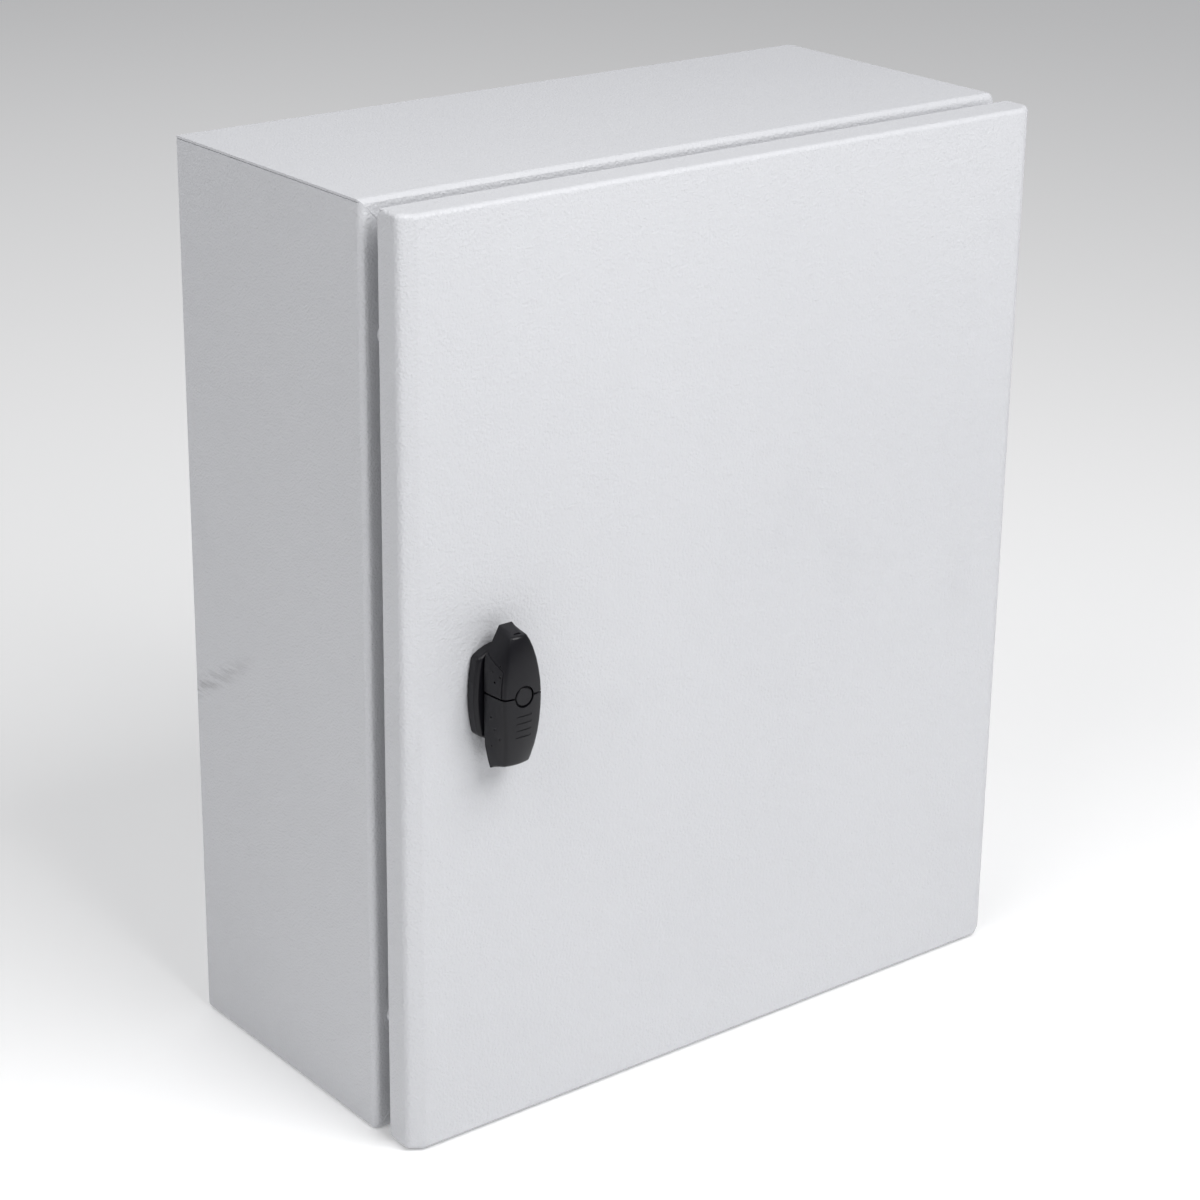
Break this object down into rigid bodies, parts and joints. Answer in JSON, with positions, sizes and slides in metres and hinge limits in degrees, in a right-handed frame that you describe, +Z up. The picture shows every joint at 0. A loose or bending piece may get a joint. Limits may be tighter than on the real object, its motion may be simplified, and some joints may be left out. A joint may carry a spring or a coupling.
{
  "type": "wall-mounting control cabinet",
  "caption": "Sheet-steel wall cabinet with a hinged pan door, quarter-turn wing handle, internal mounting plate and a gland plate in its base.",
  "frame": {"origin": "centre of the rectangle of four wall-fixing holes, on the rear face of the rear panel", "axes": "+Z up the cabinet, +Y into the wall, -Y out through the door, +X towards the hinge side"},
  "size_m": [0.5, 0.2685, 0.6],
  "materials": {
    "grey_powder_coat": "light grey powder coat with a fine orange-peel texture",
    "black_foam": "matt closed-cell foam",
    "galvanised_sheet": "hot-dip galvanised sheet with soft spangle",
    "zinc_plated_steel": "bright zinc plate",
    "die_cast_zinc": "satin die casting",
    "stainless_steel": "ground pin finish",
    "brass": "plain brass",
    "black_plastic": "fine satin moulded texture"
  },
  "bodies": {
    "cabinet": {"body_wrap": "grey_powder_coat", "rear_panel": "grey_powder_coat", "spare_collar_upper": "grey_powder_coat", "spare_collar_lower": "grey_powder_coat", "plate_studs": "zinc_plated_steel", "mounting_plate": "galvanised_sheet", "plate_washers": "zinc_plated_steel", "plate_nuts": "zinc_plated_steel", "earth_stud": "brass", "earth_nuts": "brass", "gland_seal": "black_foam", "gland_plate": "grey_powder_coat", "gland_studs": "zinc_plated_steel", "gland_nuts": "zinc_plated_steel", "hinge_block_upper": "die_cast_zinc", "hinge_block_lower": "die_cast_zinc", "hinge_nuts": "zinc_plated_steel", "hinge_pin_upper": "stainless_steel", "hinge_pin_lower": "stainless_steel"},
    "door": {"door_panel": "grey_powder_coat", "door_seal": "black_foam", "stiffener_left": "galvanised_sheet", "stiffener_right": "galvanised_sheet", "stiffener_studs": "zinc_plated_steel", "stiffener_nuts": "zinc_plated_steel", "door_leaf_upper": "die_cast_zinc", "door_leaf_lower": "die_cast_zinc", "leaf_studs": "zinc_plated_steel", "leaf_nuts": "zinc_plated_steel", "door_earth_stud": "brass", "door_earth_nuts": "brass", "escutcheon_seal": "black_foam", "escutcheon": "black_plastic", "lock_barrel": "die_cast_zinc", "barrel_nut": "zinc_plated_steel"},
    "handle": {"handle_core": "black_plastic", "upper_grip": "black_plastic", "lower_grip": "black_plastic", "hub_cap": "black_plastic", "spindle": "stainless_steel", "cam": "zinc_plated_steel", "cam_washer": "zinc_plated_steel", "cam_screw": "zinc_plated_steel"}
  },
  "joints": [
    {"name": "door_hinge", "type": "hinge", "parent": "cabinet", "child": "door", "pos_m": [0.242, -0.211, 0], "axis": [0, 0, 1], "range_deg": [0, 120]},
    {"name": "handle_turn", "type": "hinge", "parent": "door", "child": "handle", "pos_m": [-0.185, -0.238, 0.005], "axis": [0, 1, 0], "range_deg": [0, 90]}
  ]
}
